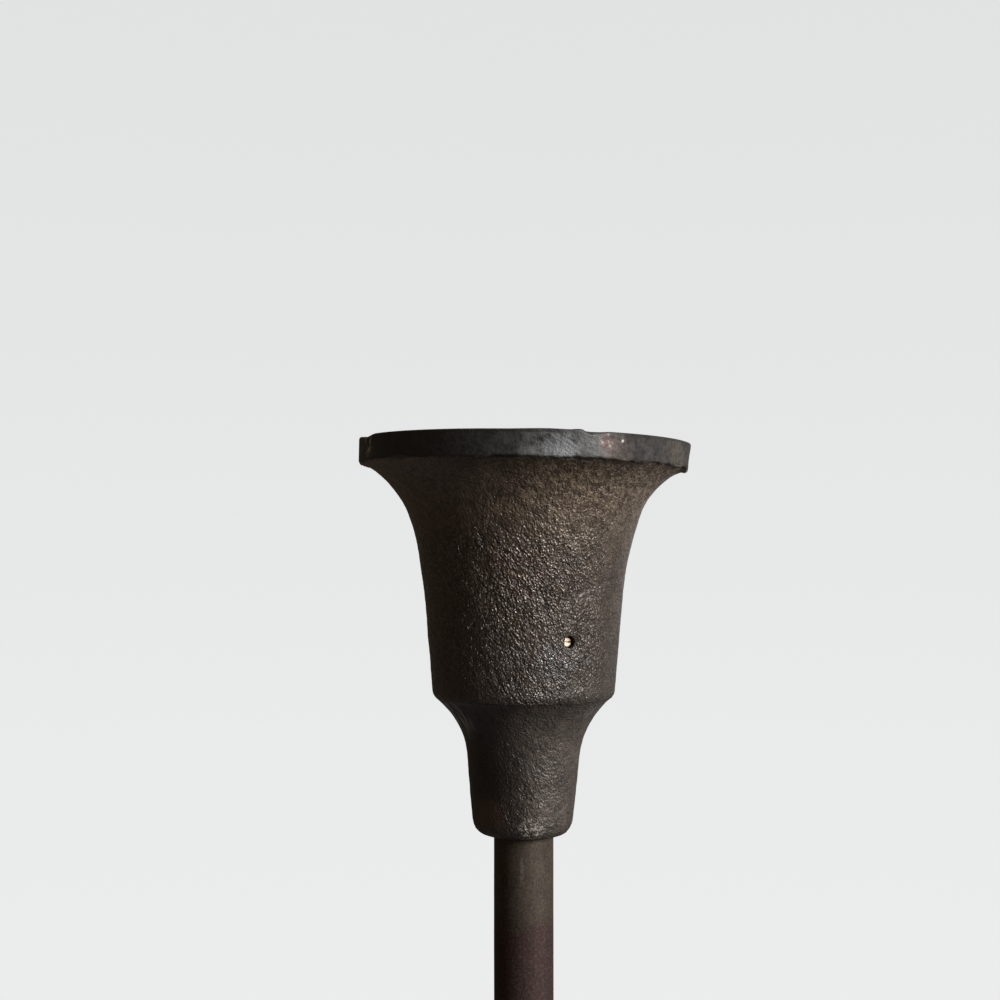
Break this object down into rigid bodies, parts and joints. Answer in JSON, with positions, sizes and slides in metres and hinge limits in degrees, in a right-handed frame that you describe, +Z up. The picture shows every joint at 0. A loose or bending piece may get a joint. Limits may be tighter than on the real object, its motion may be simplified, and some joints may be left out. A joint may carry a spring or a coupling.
{
  "type": "pricket candle stand",
  "caption": "Pricket candle stand: bell-shaped cast cup with a turned lip on a slim round stem above a flared foot, with a spiked plug locked in its socket by a side screw.",
  "frame": {"origin": "middle of the footprint, at the level the foot pads rest on", "axes": "+Z up along the stem, -Y towards the grub screw, +X to the right of it"},
  "size_m": [0.12, 0.12, 0.3301],
  "materials": {
    "cup_iron": "sand cast and darkened, with a ground lip",
    "foot_iron": "sand cast and darkened",
    "stem_steel": "drawn bar with a dark brown patina",
    "pricket_steel": "turned",
    "fixing_steel": "plated",
    "screw_brass": "turned",
    "pad_rubber": "matt"
  },
  "bodies": {
    "stand": {"candle_cup": "cup_iron", "stem": "stem_steel", "foot": "foot_iron", "foot_pads": "pad_rubber", "washer": "fixing_steel", "nut": "fixing_steel"},
    "pricket": {"pricket_plug": "pricket_steel", "pricket_spike": "pricket_steel"},
    "lock_screw": {"grub_screw": "screw_brass"}
  },
  "joints": [
    {"name": "pricket_lift", "type": "slide", "parent": "stand", "child": "pricket", "axis": [0, 0, 1], "range_m": [0, 0.05]},
    {"name": "lock_screw_travel", "type": "slide", "parent": "stand", "child": "lock_screw", "axis": [0, -1, 0], "range_m": [0, 0.005]}
  ]
}
